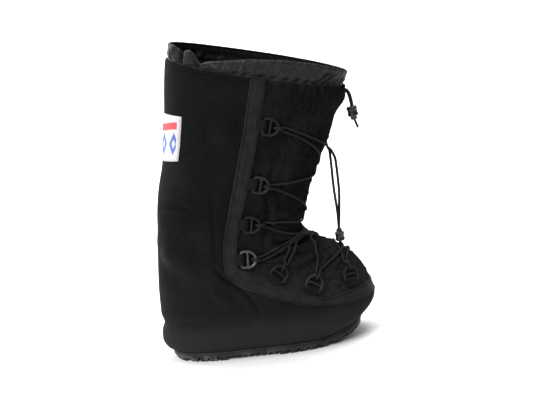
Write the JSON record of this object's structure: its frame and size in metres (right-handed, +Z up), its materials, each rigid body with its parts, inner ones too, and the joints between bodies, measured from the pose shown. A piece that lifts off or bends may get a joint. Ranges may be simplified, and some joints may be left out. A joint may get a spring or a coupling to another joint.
{
  "type": "mukluk",
  "caption": "Tall black fabric mukluk for the right foot: hollow padded shaft, laced front gusset with D rings, webbing tape, drawcord collar and lugged rubber sole.",
  "frame": {"origin": "on the floor under the middle of the boot's box, without its hanging cords", "axes": "+X to the toe, +Y to the inner side of the right foot, +Z up"},
  "size_m": [0.3056, 0.1286, 0.4246],
  "materials": {
    "rubber": "matt black rubber",
    "felt": "pressed felt",
    "nylon": "coarse black nylon weave",
    "soft_nylon": "soft black nylon weave",
    "webbing": "ribbed dark grey webbing",
    "collar_nylon": "thin slightly shiny black nylon",
    "patch": "white woven patch",
    "ring_plastic": "satin black plastic",
    "cord": "braided black cord"
  },
  "bodies": {
    "root": {"outsole": "rubber", "insole": "felt", "upper": "nylon", "gusset": "soft_nylon", "tape": "webbing", "collar": "collar_nylon", "label": "patch", "d_ring_outer_1": "ring_plastic", "d_ring_inner_1": "ring_plastic", "d_ring_outer_2": "ring_plastic", "d_ring_inner_2": "ring_plastic", "d_ring_outer_3": "ring_plastic", "d_ring_inner_3": "ring_plastic", "d_ring_outer_4": "ring_plastic", "d_ring_inner_4": "ring_plastic", "d_ring_outer_5": "ring_plastic", "d_ring_inner_5": "ring_plastic", "d_ring_outer_6": "ring_plastic", "d_ring_inner_6": "ring_plastic", "d_ring_outer_7": "ring_plastic", "d_ring_inner_7": "ring_plastic", "ring_tab_outer_1": "webbing", "ring_tab_inner_1": "webbing", "ring_tab_outer_2": "webbing", "ring_tab_inner_2": "webbing", "ring_tab_outer_3": "webbing", "ring_tab_inner_3": "webbing", "ring_tab_outer_4": "webbing", "ring_tab_inner_4": "webbing", "ring_tab_outer_5": "webbing", "ring_tab_inner_5": "webbing", "ring_tab_outer_6": "webbing", "ring_tab_inner_6": "webbing", "ring_tab_outer_7": "webbing", "ring_tab_inner_7": "webbing", "lace_cross_1": "cord", "lace_cross_2": "cord", "lace_cross_3": "cord", "lace_cross_4": "cord", "lace_cross_5": "cord", "lace_cross_6": "cord", "lace_toe_bar": "cord", "lace_top_bar": "cord", "lace_end_near": "cord", "lace_end_far": "cord", "lace_lock": "ring_plastic", "collar_cord_near": "cord", "collar_cord_far": "cord", "collar_lock": "ring_plastic", "collar_tail": "cord"}
  },
  "joints": []
}
